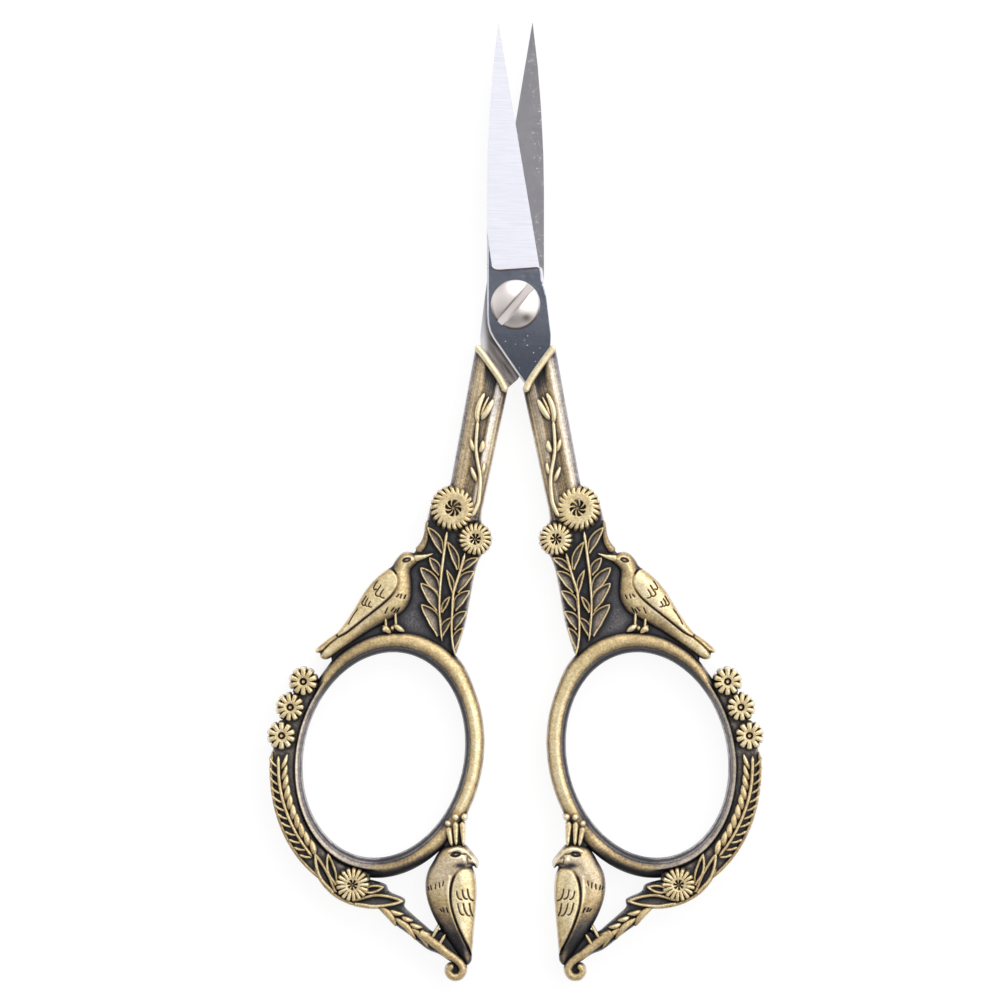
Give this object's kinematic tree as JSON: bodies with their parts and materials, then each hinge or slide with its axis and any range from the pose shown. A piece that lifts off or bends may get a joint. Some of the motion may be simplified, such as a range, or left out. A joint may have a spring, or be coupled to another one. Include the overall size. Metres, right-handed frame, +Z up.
{
  "type": "embroidery scissors",
  "caption": "Small embroidery scissors with slim pointed blades on a slotted pivot screw and cast antique-brass handles with oval finger rings, birds, flowers and leafy sprigs.",
  "frame": {"origin": "middle of the footprint, on the surface that the scissors lie on, at the slight opening of the picture", "axes": "+Y along the scissors towards the blade points, +X towards the handle of the upper blade, +Z up out of the screw head's side"},
  "size_m": [0.066, 0.1278, 0.0056],
  "materials": {
    "steel": "polished flats with a finely ground bevel",
    "antique_brass": "antique brass plating, dark in the recesses and rubbed bright on the high spots",
    "nickel": "polished nickel"
  },
  "bodies": {
    "rear_half": {"rear_blade": "steel", "left_handle": "antique_brass"},
    "front_half": {"front_blade": "steel", "right_handle": "antique_brass"},
    "screw": {"pivot_screw": "nickel"}
  },
  "joints": [
    {"name": "pivot", "type": "hinge", "parent": "rear_half", "child": "front_half", "pos_m": [0, 0.02629, 0.00245], "axis": [0, 0, 1], "range_deg": [-7, 95]},
    {"name": "screw_turn", "type": "hinge", "parent": "rear_half", "child": "screw", "pos_m": [0, 0.02629, 0.00245], "axis": [0, 0, 1], "range_deg": [-45, 45]}
  ]
}
